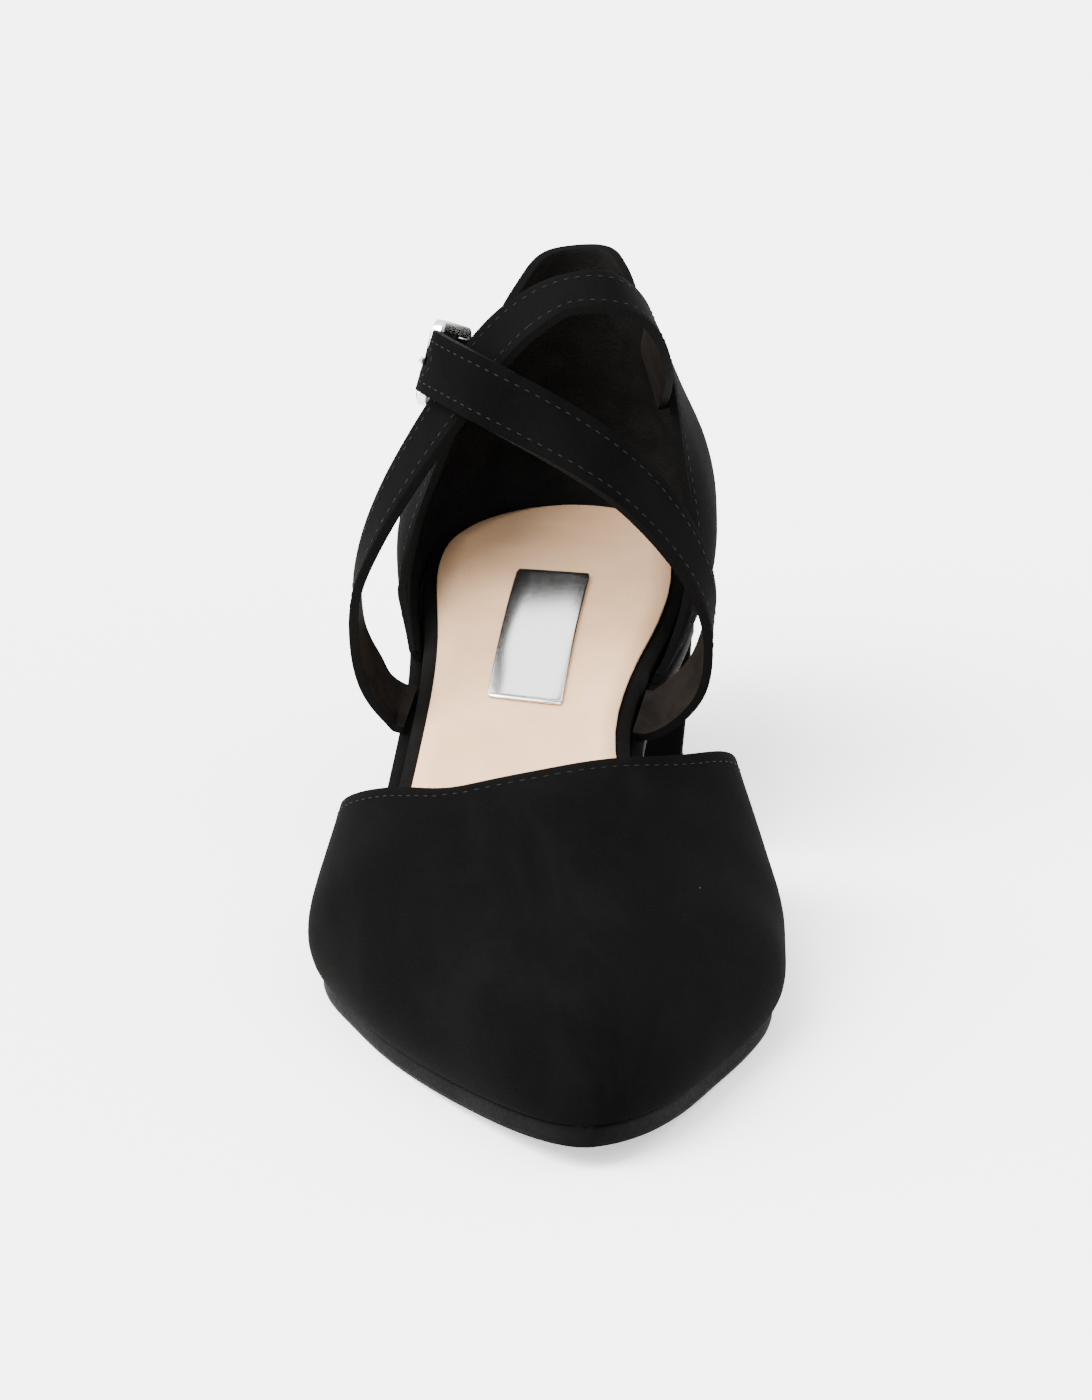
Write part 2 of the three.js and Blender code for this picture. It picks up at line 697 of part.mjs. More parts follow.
function ankleStrap() {
  return band(ankleStrapRows, strapWidth, strapThickness, 3);
}

function frontStrap() {
  const centre = new THREE.CatmullRomCurve3(frontStrapRows.map((row) => row.point));
  const faces = new THREE.CatmullRomCurve3(frontStrapRows.map((row) => row.face));
  centre.arcLengthDivisions = 20 * (frontStrapRows.length - 1);
  const toProng = centre.getLengths()[20 * prongRow];
  const holes = [-2, -1, 0, 1, 2].map((k) => {
    const t = centre.getUtoTmapping(0, toProng + k * holeSpacing);
    const { point, face, side } = bandFrame(centre, faces, t);
    const punch = new THREE.CylinderGeometry(holeRadius, holeRadius, 2 * strapThickness, 8);
    return oriented(punch, side, face, side.clone().cross(face), point);
  });
  return cut(band(frontStrapRows, strapWidth, strapThickness, 3), ...holes);
}

function buckleTab() {
  return band(tabRows, strapWidth, strapThickness, 4);
}

// Buckle

function roundedRing(length, width, inset, corner) {
  const outerShape = new THREE.Shape();
  const hole = new THREE.Path();
  const trace = (path, x, y, r) => {
    path.moveTo(-x + r, -y);
    path.lineTo(x - r, -y);
    path.absarc(x - r, -y + r, r, -Math.PI / 2, 0, false);
    path.lineTo(x, y - r);
    path.absarc(x - r, y - r, r, 0, Math.PI / 2, false);
    path.lineTo(-x + r, y);
    path.absarc(-x + r, y - r, r, Math.PI / 2, Math.PI, false);
    path.lineTo(-x, -y + r);
    path.absarc(-x + r, -y + r, r, Math.PI, Math.PI * 1.5, false);
  };
  trace(outerShape, length / 2, width / 2, corner);
  trace(hole, length / 2 - inset, width / 2 - inset, Math.max(corner - inset, 0.4));
  outerShape.holes.push(hole);
  return outerShape;
}

function oriented(geometry, first, second, third, origin) {
  const matrix = new THREE.Matrix4().makeBasis(first, second, third).setPosition(origin);
  return geometry.applyMatrix4(matrix);
}

const frameForward = atBuckle(buckleLength, buckleTilt).sub(rearBar).normalize();
const frameOut = frameForward.clone().cross(upward).normalize();

function buckle() {
  const barGap = Math.hypot(buckleLength, buckleTilt);
  const width = strapWidth + 2 * (2 * gap + wire);
  const shape = roundedRing(barGap + wire, width, wire, 2.2);
  const geometry = new THREE.ExtrudeGeometry(shape, { depth: wire, bevelEnabled: false, curveSegments: 4 });
  geometry.translate(barGap / 2, 0, -wire / 2);
  return oriented(geometry, frameForward, upward, frameOut, rearBar);
}

// The prong comes up through the strap's hole and lies on the front bar
function prong() {
  const bar = buckleTilt + wire / 2 + gap + prongRadius;
  const path = new THREE.CatmullRomCurve3([
    atBuckle(prongAhead - 0.1, foldRadius),
    atBuckle(prongAhead, foldRadius + 0.9 * layer),
    atBuckle(prongAhead + 0.6, foldRadius + 0.9 * layer + strapThickness),
    atBuckle(prongAhead + 2.2, bar + 0.35),
    atBuckle(buckleLength - 1, bar + 0.05),
    atBuckle(buckleLength + 1.3, bar),
  ]);
  const shape = new THREE.Shape().absarc(0, 0, prongRadius, 0, Math.PI * 2);
  const along = { steps: 14, curveSegments: 5, bevelEnabled: false, extrudePath: path };
  return new THREE.ExtrudeGeometry(shape, along);
}

// Keeper round both straps behind the buckle
function keeper() {
  const stack = 2 * strapThickness + gap;
  const shape = roundedRing(
    strapWidth + 2 * (gap + 0.2 + keeperThickness),
    stack + 2 * (gap + 0.2 + keeperThickness),
    keeperThickness,
    1.6,
  );
  const across = { depth: keeperWidth, bevelEnabled: false, curveSegments: 3 };
  const geometry = new THREE.ExtrudeGeometry(shape, across);
  geometry.translate(0, 0, -keeperWidth / 2);
  const centre = atBuckle(-8, foldRadius + layer / 2);
  return oriented(geometry, upward, outward, forward, centre);
}

// Assembly

const suede = { color: 0x17161a, roughness: 0.95, metalness: 0 };
const soleRubber = { color: 0x2b2b2d, roughness: 0.45, metalness: 0 };
const sockLeather = { color: 0xdcc3ae, roughness: 0.55, metalness: 0 };
const silver = { color: 0xc9c9c6, roughness: 0.2, metalness: 1 };

const shoe = new THREE.Group();

function addPiece(name, geometry, finish) {
  const mesh = new THREE.Mesh(geometry, new THREE.MeshStandardMaterial(finish));
  mesh.name = name;
  shoe.add(mesh);
}

addPiece('outsole', outsole(), soleRubber);
addPiece('heel', heel(), suede);
addPiece('top_piece', topPiece(), soleRubber);
addPiece('insole', insole(), suede);
addPiece('sock', sock(), sockLeather);
addPiece('sock_plate', sockPlate(), silver);
addPiece('vamp', vamp(), suede);
addPiece('quarter', quarter(), suede);
addPiece('ankle_strap', ankleStrap(), suede);
addPiece('front_strap', frontStrap(), suede);
addPiece('buckle_tab', buckleTab(), suede);
addPiece('buckle', buckle(), silver);
addPiece('prong', prong(), silver);
addPiece('keeper', keeper(), suede);

export default shoe;
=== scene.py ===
import math

import bmesh
import bpy
from mathutils import Matrix, Vector
from mathutils.bvhtree import BVHTree


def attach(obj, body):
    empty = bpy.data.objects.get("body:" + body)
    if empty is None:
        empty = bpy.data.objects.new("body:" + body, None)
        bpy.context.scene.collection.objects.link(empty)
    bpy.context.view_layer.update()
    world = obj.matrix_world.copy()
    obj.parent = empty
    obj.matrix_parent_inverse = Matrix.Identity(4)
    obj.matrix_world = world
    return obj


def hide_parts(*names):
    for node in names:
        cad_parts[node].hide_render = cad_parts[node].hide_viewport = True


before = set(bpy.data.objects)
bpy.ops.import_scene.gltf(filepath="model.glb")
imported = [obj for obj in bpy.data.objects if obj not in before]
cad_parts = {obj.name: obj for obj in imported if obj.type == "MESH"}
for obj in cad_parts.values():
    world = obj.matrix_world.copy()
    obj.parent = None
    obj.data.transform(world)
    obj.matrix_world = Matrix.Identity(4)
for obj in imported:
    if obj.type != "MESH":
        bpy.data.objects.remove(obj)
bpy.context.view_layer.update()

mm = 0.001
print("frame loaded, nodes:", len(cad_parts))


# Camera

cameraSetup = {
    "target": (-6.3, -91.5, 45.0),
    "elevation": 19.0,  # degrees above the floor
    "distance": 1600.0,
    "lens": 226.3,
}


def makeCamera(setup):
    data = bpy.data.cameras.new("camera")
    data.lens = setup["lens"]
    data.sensor_width = 36.0
    data.clip_start, data.clip_end = 0.05, 60.0
    camera = bpy.data.objects.new("camera", data)
    bpy.context.scene.collection.objects.link(camera)
    target = Vector(setup["target"]) * mm
    tilt = math.radians(setup["elevation"])
    back = Vector((0, -math.cos(tilt), math.sin(tilt)))
    camera.location = target + back * setup["distance"] * mm
    camera.rotation_euler = (-back).to_track_quat("-Z", "Y").to_euler()
    bpy.context.scene.camera = camera


makeCamera(cameraSetup)
print("camera placed")


# Node helpers for the materials

def newMaterial(name):
    material = bpy.data.materials.new(name)
    material.use_nodes = True
    return material, material.node_tree, material.node_tree.nodes["Principled BSDF"]


def addNode(tree, kind, **values):
    node = tree.nodes.new(kind)
    for key, value in values.items():
        if key in node.inputs:
            node.inputs[key].default_value = value
        else:
            setattr(node, key, value)
    return node


def patternSpace(tree, stretch=(1, 1, 1), turn=(0, 0, 0)):
    coords = addNode(tree, "ShaderNodeTexCoord")
    mapping = addNode(tree, "ShaderNodeMapping")
    mapping.inputs["Scale"].default_value = stretch
    mapping.inputs["Rotation"].default_value = [math.radians(v) for v in turn]
    tree.links.new(coords.outputs["Object"], mapping.inputs["Vector"])
    return mapping.outputs["Vector"]


def noise(tree, space, size, detail=3.0, rough=0.55, distortion=0.0):
    node = addNode(tree, "ShaderNodeTexNoise", Scale=1 / (size * mm), Detail=detail, Roughness=rough,
                   Distortion=distortion)
    tree.links.new(space, node.inputs["Vector"])
    return node.outputs["Fac"]


def ramp(tree, source, low, high, fromValue=0.3, toValue=0.7):
    node = addNode(tree, "ShaderNodeMapRange", interpolation_type="SMOOTHSTEP")
    node.inputs["From Min"].default_value = fromValue
    node.inputs["From Max"].default_value = toValue
    node.inputs["To Min"].default_value = low
    node.inputs["To Max"].default_value = high
    tree.links.new(source, node.inputs["Value"])
    return node.outputs["Result"]


def blendColours(tree, source, first, second):
    node = addNode(tree, "ShaderNodeMix", data_type="RGBA")
    node.inputs[6].default_value = (*first, 1)
    node.inputs[7].default_value = (*second, 1)
    tree.links.new(source, node.inputs[0])
    return node.outputs[2]


def sumOf(tree, first, second, operation="ADD"):
    node = addNode(tree, "ShaderNodeMath", operation=operation)
    tree.links.new(first, node.inputs[0])
    if isinstance(second, float):
        node.inputs[1].default_value = second
    else:
        tree.links.new(second, node.inputs[1])
    return node.outputs[0]


def addBump(tree, shader, height, depth, strength=1.0):
    node = addNode(tree, "ShaderNodeBump", Strength=strength, Distance=depth * mm)
    tree.links.new(height, node.inputs["Height"])
    tree.links.new(node.outputs["Normal"], shader.inputs["Normal"])


# Materials

suedeLook = {
    "deep": (0.0009, 0.0009, 0.0009),
    "brushed": (0.0022, 0.0021, 0.0021),
    "lint": (0.03, 0.03, 0.03),
    "sheen": 0.007,
    "sheenTint": (0.85, 0.8, 0.76, 1),
    "fibre": 0.22,  # size of a fibre tuft, mm
    "patch": 16.0,  # size of a brushed patch, mm
    "napDepth": 0.07,
}


def makeSuede(name, look, lint=True):
    material, tree, shader = newMaterial(name)
    space = patternSpace(tree)
    lying = patternSpace(tree, stretch=(1, 0.45, 0.7), turn=(18, 0, 12))  # the nap lies along the shoe
    fibre = noise(tree, lying, look["fibre"], detail=4, rough=0.7)
    tuft = noise(tree, space, look["fibre"] * 3.4, detail=3, rough=0.6, distortion=0.4)
    patch = noise(tree, lying, look["patch"], detail=4, rough=0.6, distortion=0.8)
    brushed = sumOf(tree, ramp(tree, patch, 0.0, 0.75, 0.35, 0.72), ramp(tree, fibre, 0.0, 0.5, 0.35, 0.75))
    colour = blendColours(tree, brushed, look["deep"], look["brushed"])
    if lint:
        dots = addNode(tree, "ShaderNodeTexVoronoi", Scale=1 / (9 * mm), Randomness=1.0)
        tree.links.new(space, dots.inputs["Vector"])
        speck = ramp(tree, dots.outputs["Distance"], 1.0, 0.0, 0.012, 0.03)
        rare = addNode(tree, "ShaderNodeMath", operation="GREATER_THAN")
        rare.inputs[1].default_value = 0.72
        tree.links.new(dots.outputs["Color"], rare.inputs[0])
        amount = sumOf(tree, speck, rare.outputs[0], "MULTIPLY")
        mixed = addNode(tree, "ShaderNodeMix", data_type="RGBA")
        tree.links.new(amount, mixed.inputs[0])
        tree.links.new(colour, mixed.inputs[6])
        mixed.inputs[7].default_value = (*look["lint"], 1)
        colour = mixed.outputs[2]
    tree.links.new(colour, shader.inputs["Base Color"])
    tree.links.new(ramp(tree, patch, 0.86, 1.0), shader.inputs["Roughness"])
    shader.inputs["Specular IOR Level"].default_value = 0.008
    shader.inputs["Sheen Weight"].default_value = look["sheen"]
    shader.inputs["Sheen Roughness"].default_value = 0.42
    shader.inputs["Sheen Tint"].default_value = look["sheenTint"]
    addBump(tree, shader, sumOf(tree, fibre, tuft), look["napDepth"], 0.55)
    return material


edgeLook = {"colour": (0.0022, 0.0021, 0.002), "roughness": 0.75, "shine": 0.02}
liningLook = {"colour": (0.0036, 0.0034, 0.0032), "pale": (0.0058, 0.0055, 0.0052), "roughness": 0.75, "shine": 0.02}
strapLiningLook = {"colour": (0.003, 0.0024, 0.002), "pale": (0.006, 0.0049, 0.0041), "roughness": 0.75, "shine": 0.02}


def makeEdge(name, look):  # painted or folded edge of the leather
    material, tree, shader = newMaterial(name)
    space = patternSpace(tree)
    grain = noise(tree, space, 0.3, detail=4)
    darker = tuple(v * 0.55 for v in look["colour"])
    tree.links.new(blendColours(tree, ramp(tree, grain, 0, 1), darker, look["colour"]), shader.inputs["Base Color"])
    shader.inputs["Roughness"].default_value = look["roughness"]
    shader.inputs["Specular IOR Level"].default_value = look["shine"]
    addBump(tree, shader, grain, 0.12, 0.5)
    return material


def makeLining(name, look):  # smooth leather with fine pores
    material, tree, shader = newMaterial(name)
    space = patternSpace(tree)
    cloud = noise(tree, space, 7.0, detail=3, distortion=0.5)
    pores = addNode(tree, "ShaderNodeTexVoronoi", Scale=1 / (0.75 * mm), Randomness=1.0)
    tree.links.new(space, pores.inputs["Vector"])
    pore = ramp(tree, pores.outputs["Distance"], 0.0, 1.0, 0.1, 0.55)
    tree.links.new(blendColours(tree, ramp(tree, cloud, 0, 1), look["colour"], look["pale"]),
                   shader.inputs["Base Color"])
    shader.inputs["Roughness"].default_value = look["roughness"]
    shader.inputs["Specular IOR Level"].default_value = look["shine"]
    addBump(tree, shader, sumOf(tree, pore, cloud), 0.1, 0.5)
    return material


sockLook = {
    "colour": (0.50, 0.30, 0.165),
    "pale": (0.555, 0.35, 0.205),
    "roughness": 0.5,
}


def makeSock(name, look):
    material, tree, shader = newMaterial(name)
    space = patternSpace(tree)
    cloud = noise(tree, space, 18.0, detail=3, distortion=0.3)
    grain = addNode(tree, "ShaderNodeTexVoronoi", Scale=1 / (0.9 * mm), Randomness=1.0)
    tree.links.new(space, grain.inputs["Vector"])
    cell = ramp(tree, grain.outputs["Distance"], 0.0, 1.0, 0.05, 0.6)
    fine = noise(tree, space, 0.35, detail=4)
    tree.links.new(blendColours(tree, ramp(tree, cloud, 0, 1), look["colour"], look["pale"]),
                   shader.inputs["Base Color"])
    tree.links.new(ramp(tree, fine, look["roughness"] - 0.08, look["roughness"] + 0.1), shader.inputs["Roughness"])
    shader.inputs["Specular IOR Level"].default_value = 0.4
    addBump(tree, shader, sumOf(tree, cell, fine), 0.05, 0.35)
    return material


plateLook = {"colour": (0.86, 0.86, 0.85), "roughness": 0.2, "grain": 0.4}
buckleMetalLook = {"colour": (0.62, 0.62, 0.61), "roughness": 0.24, "grain": 0.3}


def makeMetal(name, look):
    material, tree, shader = newMaterial(name)
    grain = noise(tree, patternSpace(tree), look["grain"], detail=3)
    shader.inputs["Base Color"].default_value = (*look["colour"], 1)
    shader.inputs["Metallic"].default_value = 1.0
    tree.links.new(ramp(tree, grain, look["roughness"] * 0.85, look["roughness"] * 1.2),
                   shader.inputs["Roughness"])
    addBump(tree, shader, grain, 0.002, 0.15)
    return material


rubberLook = {
    "colour": (0.0012, 0.0012, 0.0012),
    "worn": (0.0026, 0.0025, 0.0024),
    "edgeRoughness": 0.55,
    "treadRoughness": 0.7,
    "shine": 0.015,
}


def makeRubber(name, look, roughness, grainSize):
    material, tree, shader = newMaterial(name)
    space = patternSpace(tree)
    cloud = noise(tree, space, 9.0, detail=4, distortion=0.4)
    grain = noise(tree, space, grainSize, detail=4)
    tree.links.new(blendColours(tree, ramp(tree, cloud, 0, 1), look["colour"], look["worn"]),
                   shader.inputs["Base Color"])
    tree.links.new(ramp(tree, grain, roughness - 0.07, roughness + 0.1), shader.inputs["Roughness"])
    shader.inputs["Specular IOR Level"].default_value = look["shine"]
    addBump(tree, shader, grain, 0.05, 0.4)
    return material


threadLook = {"colour": (0.008, 0.0079, 0.0078), "roughness": 0.6, "shine": 0.05}


def makeThread(name, look):
    material, tree, shader = newMaterial(name)
    twist = addNode(tree, "ShaderNodeTexWave", Scale=1 / (0.9 * mm), Distortion=1.5)
    tree.links.new(patternSpace(tree, turn=(20, 35, 40)), twist.inputs["Vector"])
    darker = tuple(v * 0.6 for v in look["colour"])
    tree.links.new(blendColours(tree, twist.outputs["Fac"], darker, look["colour"]), shader.inputs["Base Color"])
    shader.inputs["Roughness"].default_value = look["roughness"]
    shader.inputs["Specular IOR Level"].default_value = look["shine"]
    addBump(tree, shader, twist.outputs["Fac"], 0.03, 0.5)
    return material


suede = makeSuede("suede", suedeLook)
suedePlain = makeSuede("suedePlain", suedeLook, lint=False)
# insole: the same suede made about four times lighter, painted light that lifts the insole's shaded rim
insoleSuedePaintedLight = makeSuede("insoleSuedePaintedLight", {**suedeLook, "deep": (0.0022, 0.0021, 0.002), "brushed": (0.006, 0.0058, 0.0055)})
leatherEdge = makeEdge("leatherEdge", edgeLook)
lining = makeLining("lining", liningLook)
strapLining = makeLining("strapLining", strapLiningLook)
sockLeather = makeSock("sockLeather", sockLook)
plateMetal = makeMetal("plateMetal", plateLook)
buckleMetal = makeMetal("buckleMetal", buckleMetalLook)
soleRubber = makeRubber("soleRubber", rubberLook, rubberLook["edgeRoughness"], 0.5)
topPieceRubber = makeRubber("topPieceRubber", rubberLook, rubberLook["treadRoughness"], 0.35)
thread = makeThread("thread", threadLook)
print("materials made")


# Modelling helpers

def selectOnly(piece):
    bpy.ops.object.select_all(action="DESELECT")
    piece.select_set(True)
    bpy.context.view_layer.objects.active = piece


def copyNode(nodeName, pieceName):  # a merged copy of a CAD node, back to four-sided faces
    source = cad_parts[nodeName]
    piece = bpy.data.objects.new(pieceName, source.data.copy())
    bpy.context.scene.collection.objects.link(piece)
    selectOnly(piece)
    bpy.ops.object.mode_set(mode="EDIT")
    bpy.ops.mesh.select_all(action="SELECT")
    bpy.ops.mesh.remove_doubles(threshold=0.002 * mm)
    bpy.ops.mesh.tris_convert_to_quads(face_threshold=math.radians(50), shape_threshold=math.radians(80))
    bpy.ops.mesh.select_all(action="DESELECT")
    bpy.ops.object.mode_set(mode="OBJECT")
    piece.data.materials.clear()
    return piece


def creaseSharpEdges(piece, angle, crease):
    selectOnly(piece)
    bpy.ops.object.mode_set(mode="EDIT")
    bpy.ops.mesh.select_mode(type="EDGE")
    bpy.ops.mesh.select_all(action="DESELECT")
    bpy.ops.mesh.edges_select_sharp(sharpness=math.radians(angle))
    bpy.ops.transform.edge_crease(value=crease)
    bpy.ops.mesh.select_all(action="DESELECT")
    bpy.ops.object.mode_set(mode="OBJECT")


def subdivide(piece, levels):
    selectOnly(piece)
    smoother = piece.modifiers.new("smooth", "SUBSURF")
    smoother.levels = levels
    smoother.render_levels = levels
    bpy.ops.object.modifier_apply(modifier=smoother.name)
    bpy.ops.object.shade_smooth()


def roundEdges(piece, width, segments, angle=40):
    selectOnly(piece)
    bevel = piece.modifiers.new("round", "BEVEL")
    bevel.width = width * mm
    bevel.segments = segments
    bevel.limit_method = "ANGLE"
    bevel.angle_limit = math.radians(angle)
    bevel.use_clamp_overlap = True
    bpy.ops.object.modifier_apply(modifier=bevel.name)
    bpy.ops.object.shade_smooth_by_angle(angle=math.radians(38))


def smoothLeather(piece, angle, look):  # keeps the rims in place and rounds them
    creaseSharpEdges(piece, angle, 1.0)
    subdivide(piece, look["levels"])
    roundEdges(piece, look["rim"], 2, angle=50)


def finishPiece(piece, slot, *nodes):
    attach(piece, "root")
    if nodes:
        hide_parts(*nodes)


def faceRegions(mesh, angle):  # faces joined up to the sharp edges, the largest first
    limit = math.radians(angle)
    left = set(mesh.faces)
    regions = []
    while left:
        start = left.pop()
        region, open_ = [start], [start]
        while open_:
            face = open_.pop()
            for edge in face.edges:
                if len(edge.link_faces) != 2 or edge.calc_face_angle() > limit:
                    continue
                for other in edge.link_faces:
                    if other in left:
                        left.discard(other)
                        region.append(other)
                        open_.append(other)
        regions.append(region)
    return sorted(regions, key=lambda region: -sum(face.calc_area() for face in region))


def dressLeather(piece, away, materials, angle=48):
    # outer face, edge and lining get their own material; returns the lines round the outer face
    for material in materials:
        piece.data.materials.append(material)
    mesh = bmesh.new()
    mesh.from_mesh(piece.data)
    mesh.normal_update()
    regions = faceRegions(mesh, angle)

    def facing(region):
        return sum(face.calc_area() * face.normal.dot(away(face.calc_center_median())) for face in region)

    outer, inner = sorted(regions[:2], key=facing, reverse=True)
    for face in mesh.faces:
        face.material_index = 1
    for face in inner:
        face.material_index = 2
    for face in outer:
        face.material_index = 0
    lines = rimLines(mesh, set(outer))
    mesh.to_mesh(piece.data)
    mesh.free()
    return lines


def rimLines(mesh, outer):  # closed lines of (place, inward, normal) round a region
    links = {}
    for edge in mesh.edges:
        inside = [face for face in edge.link_faces if face in outer]
        if len(inside) != 1:
            continue
        face = inside[0]
        middle = (edge.verts[0].co + edge.verts[1].co) / 2
        along = (edge.verts[1].co - edge.verts[0].co).normalized()
        inward = along.cross(face.normal)
        if inward.dot(face.calc_center_median() - middle) < 0:
            inward.negate()
        for here, there in (edge.verts, reversed(edge.verts)):
            links.setdefault(here.index, []).append((there.index, middle.copy(), inward, face.normal.copy()))
    lines = []
    used = set()
    for start in links:
        if start in used:
            continue
        line, here = [], start
        while here not in used:
            used.add(here)
            step = next((link for link in links[here] if link[0] not in used), None)
            if step is None:
                break
            line.append(step[1:])
            here = step[0]
        if len(line) > 12:
            lines.append(line)
    return lines


# Stitches

stitchLook = {
    "length": 1.15,
    "spacing": 2.15,
    "thickness": 0.28,
    "inset": 1.9,  # from the edge
}


def stitchMesh(look):  # one stitch: a small capsule, modelled once
    bpy.ops.object.select_all(action="DESELECT")
    bpy.ops.mesh.primitive_uv_sphere_add(segments=6, ring_count=4, radius=0.5)
    stitch = bpy.context.object
    bpy.ops.object.mode_set(mode="EDIT")
    bpy.ops.mesh.select_all(action="SELECT")
    bpy.ops.transform.rotate(value=math.radians(90), orient_axis="Y", center_override=(0, 0, 0))
    bpy.ops.transform.resize(value=(look["length"] * mm, look["thickness"] * mm, look["thickness"] * 0.8 * mm))
    bpy.ops.object.mode_set(mode="OBJECT")
    made = bmesh.new()
    made.from_mesh(stitch.data)
    shape = ([vert.co.copy() for vert in made.verts], [[vert.index for vert in face.verts] for face in made.faces])
    made.free()
    bpy.data.objects.remove(stitch)
    return shape


def sewLine(name, line, piece, look, keep, slot, inset=None):
    inset = (look["inset"] if inset is None else inset) * mm
    places = [place + inward * inset for place, inward, _ in line]
    rims = [place for place, _, _ in line]
    tree = BVHTree.FromObject(piece, bpy.context.evaluated_depsgraph_get())
    vertices, faces = stitchMesh(look)
    walk, gap = [], look["spacing"] * mm
    rest = 0.0
    for first, second in zip(places, places[1:] + places[:1]):
        length = (second - first).length
        if length > 0.02:
            continue
        while rest < length:
            walk.append(first.lerp(second, rest / length))
            rest += gap
        rest -= length
    allVertices, allFaces = [], []
    for index, place in enumerate(walk):
        if not keep(place) or min((place - rim).length for rim in rims) < inset * 0.8:
            continue
        spot, normal, _, _ = tree.find_nearest(place)
        ahead = walk[(index + 1) % len(walk)] - walk[index - 1]
        along = (ahead - normal * ahead.dot(normal)).normalized()
        turn = Matrix((along, normal.cross(along), normal)).transposed()
        base = len(allVertices)
        sunk = spot + normal * look["thickness"] * 0.12 * mm
        allVertices.extend(sunk + turn @ vertex for vertex in vertices)
        allFaces.extend([base + k for k in face] for face in faces)
    mesh = bpy.data.meshes.new(name)
    mesh.from_pydata(allVertices, [], allFaces)
    mesh.materials.append(thread)
    row = bpy.data.objects.new(name, mesh)
    bpy.context.scene.collection.objects.link(row)
    selectOnly(row)
    bpy.ops.object.shade_smooth()
    finishPiece(row, slot)
    return row


# Vamp

vampLook = {
    "levels": 2,
    "rim": 0.3,
    "middle": (-6, -118, 4),  # a point inside the forefoot
    "topLine": 2.2,  # stitches below the top line
}


def awayFrom(middle):
    centre = Vector(middle) * mm
    return lambda place: (place - centre).normalized()


vamp = copyNode("vamp", "vampUpper")
vampLines = dressLeather(vamp, awayFrom(vampLook["middle"]), (suede, leatherEdge, lining))
smoothLeather(vamp, 48, vampLook)
finishPiece(vamp, "vamp_suede", "vamp")
print("vamp", len(vamp.data.polygons), "faces,", len(vampLines), "lines")


# Quarter

quarterLook = {
    "levels": 2,
    "rim": 0.3,
    "middle": (-5, -6, 66),
    "topLine": 2.1,
}

quarter = copyNode("quarter", "quarterUpper")
quarterLines = dressLeather(quarter, awayFrom(quarterLook["middle"]), (suede, leatherEdge, lining))
smoothLeather(quarter, 48, quarterLook)
finishPiece(quarter, "quarter_suede", "quarter")
print("quarter", len(quarter.data.polygons), "faces,", len(quarterLines), "lines")


# Straps

strapLook = {
    "levels": 2,
    "rim": 0.35,
    "middle": (-5, -30, 62),
}


def makeStrap(nodeName, pieceName, look):
    strap = copyNode(nodeName, pieceName)
    lines = dressLeather(strap, awayFrom(look["middle"]), (suedePlain, leatherEdge, strapLining), angle=40)
    smoothLeather(strap, 40, look)
    finishPiece(strap, "strap_suede", nodeName)
    print(pieceName, len(strap.data.polygons), "faces,", len(lines), "lines")
    return strap, lines


outerStrap, outerStrapLines = makeStrap("ankle_strap", "outerStrap", strapLook)
innerStrap, innerStrapLines = makeStrap("front_strap", "innerStrap", strapLook)
buckleTab, buckleTabLines = makeStrap("buckle_tab", "buckleTab", strapLook)
keeper = copyNode("keeper", "strapKeeper")
keeper.data.materials.append(suedePlain)
roundEdges(keeper, 0.3, 2)
finishPiece(keeper, "strap_suede", "keeper")


# Sole, heel and insole

soleLook = {"crease": 0.72, "levels": 2}


def makeSmoothPiece(nodeName, pieceName, material, slot, crease, levels):
    piece = copyNode(nodeName, pieceName)
    piece.data.materials.append(material)
    creaseSharpEdges(piece, 48, crease)
    subdivide(piece, levels)
    finishPiece(piece, slot, nodeName)
    return piece


outsole = makeSmoothPiece("outsole", "soleUnit", soleRubber, "sole_rubber", soleLook["crease"], soleLook["levels"])
heel = makeSmoothPiece("heel", "heelBlock", suedePlain, "heel_suede", 0.85, 2)
topPiece = makeSmoothPiece("top_piece", "heelTread", topPieceRubber, "top_piece_rubber", 0.9, 1)
# the insole takes the lighter suede copy, painted light against the shade inside the shoe
insole = makeSmoothPiece("insole", "insoleBoard", insoleSuedePaintedLight, "insole_suede", 0.5, 1)
sock = makeSmoothPiece("sock", "sockLining", sockLeather, "sock_leather", 0.85, 1)
sockPlate = makeSmoothPiece("sock_plate", "blankPlate", plateMetal, "plate_metal", 0.9, 2)
print("sole, heel and insole made")


# Buckle

buckleLook = {"round": 0.6, "segments": 3}
buckle = copyNode("buckle", "buckleFrame")
buckle.data.materials.append(buckleMetal)
roundEdges(buckle, buckleLook["round"], buckleLook["segments"])
finishPiece(buckle, "buckle_metal", "buckle")
prong = copyNode("prong", "bucklePin")
prong.data.materials.append(buckleMetal)
roundEdges(prong, 0.2, 2, angle=60)
finishPiece(prong, "buckle_metal", "prong")
print("buckle made")


# Stitch rows

def aboveSole(clearance):
    # true where a place is well above the outsole and the heel
    ground = [BVHTree.FromObject(piece, bpy.context.evaluated_depsgraph_get()) for piece in (outsole, heel)]

    def keep(place):
        hits = [tree.find_nearest(place)[3] for tree in ground]
        return min(hits) > clearance * mm
    return keep


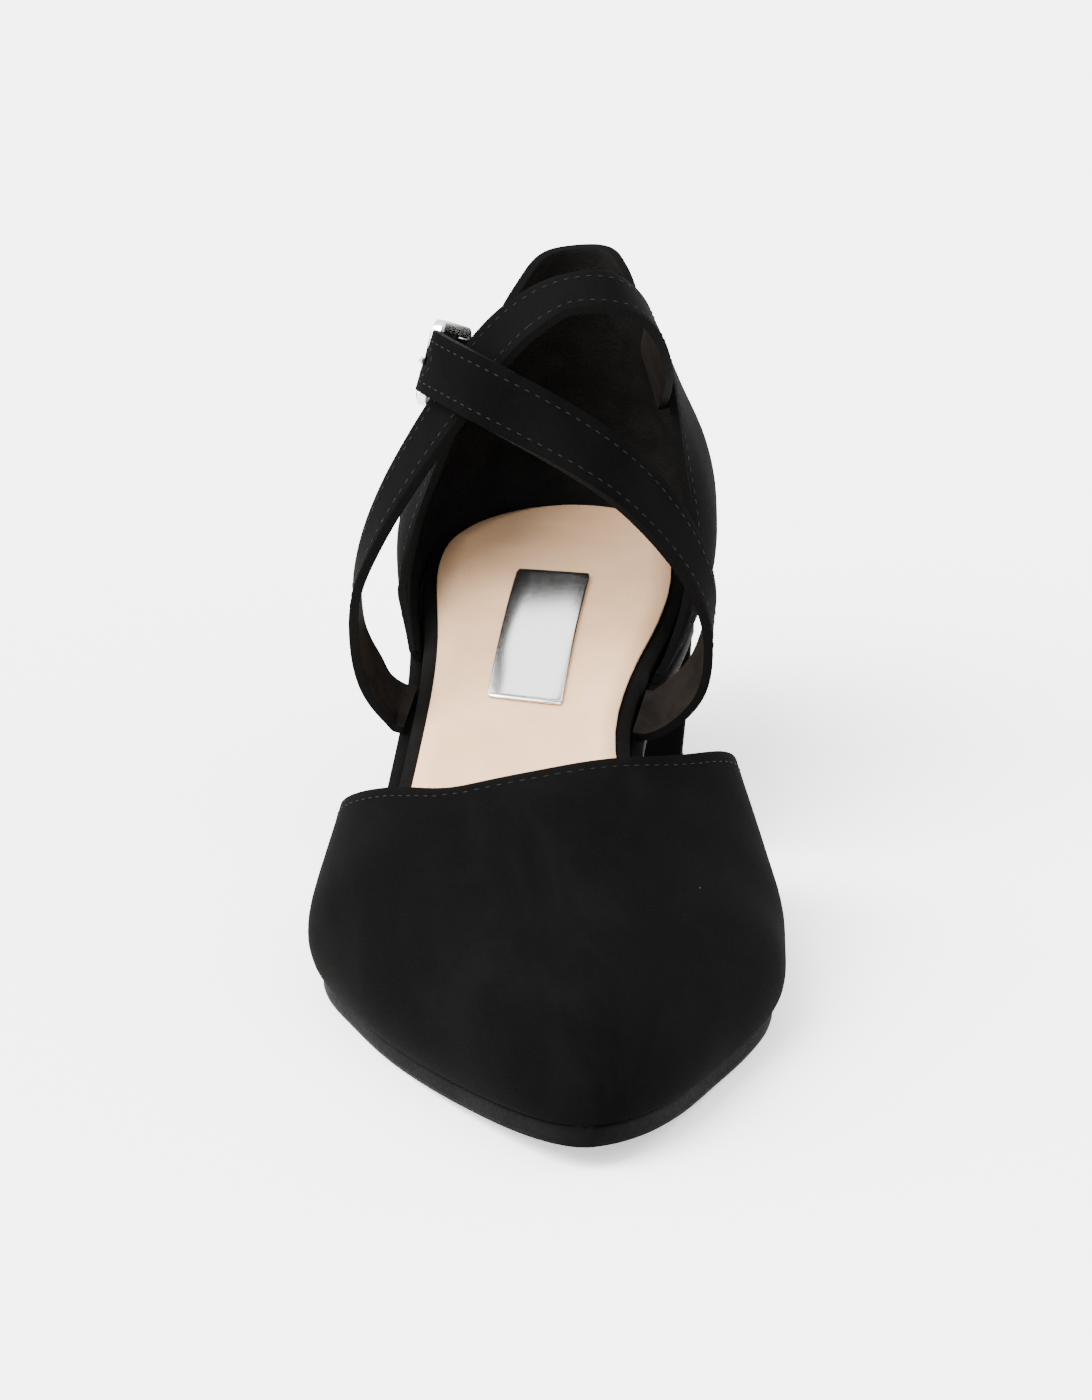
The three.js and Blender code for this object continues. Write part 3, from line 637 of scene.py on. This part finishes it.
clearOfSole = aboveSole(5.0)
for number, line in enumerate(vampLines):
    sewLine(f"vampStitches{number}", line, vamp, stitchLook, clearOfSole, "vamp_suede", vampLook["topLine"])
for number, line in enumerate(quarterLines):
    sewLine(f"quarterStitches{number}", line, quarter, stitchLook, clearOfSole, "quarter_suede",
            quarterLook["topLine"])
for name, strap, lines in (("outerStrap", outerStrap, outerStrapLines), ("innerStrap", innerStrap, innerStrapLines),
                           ("buckleTab", buckleTab, buckleTabLines)):
    for number, line in enumerate(lines):
        sewLine(f"{name}Stitches{number}", line, strap, stitchLook, lambda place: True, "strap_suede")
print("stitches sewn")


# Floor and light

studio = {
    "floor": {"colour": (0.8, 0.8, 0.8), "glow": 0.7},
    "world": 3.3,
    "key": {"strength": 10.0, "angle": 40, "from": (-0.6, -0.55, 1.0)},
    "side": {"strength": 5.0, "angle": 50, "from": (-1.0, -0.15, 0.4)},
}


def makeFloor(look):  # bright paper, lit from below as well, so that the shadow stays faint
    bpy.ops.object.select_all(action="DESELECT")
    bpy.ops.mesh.primitive_circle_add(vertices=96, radius=9, fill_type="NGON", location=(0, 0, -0.0002))
    floor = bpy.context.object
    floor.name = "floor"
    bpy.ops.object.transform_apply(location=True)
    material, tree, shader = newMaterial("floorPaper")
    shader.inputs["Base Color"].default_value = (*look["colour"], 1)
    shader.inputs["Roughness"].default_value = 0.9
    shader.inputs["Specular IOR Level"].default_value = 0.1
    shader.inputs["Emission Color"].default_value = (1, 1, 1, 1)
    shader.inputs["Emission Strength"].default_value = look["glow"]
    floor.data.materials.append(material)


def makeSun(name, look):
    data = bpy.data.lights.new(name, "SUN")
    data.energy = look["strength"]
    data.angle = math.radians(look["angle"])
    lamp = bpy.data.objects.new(name, data)
    bpy.context.scene.collection.objects.link(lamp)
    lamp.rotation_euler = Vector(look["from"]).to_track_quat("Z", "Y").to_euler()


makeFloor(studio["floor"])
world = bpy.data.worlds.new("studio")
bpy.context.scene.world = world
world.use_nodes = True
world.node_tree.nodes["Background"].inputs["Color"].default_value = (1, 1, 1, 1)
world.node_tree.nodes["Background"].inputs["Strength"].default_value = studio["world"]
makeSun("key", studio["key"])
makeSun("side", studio["side"])
print("studio lit")
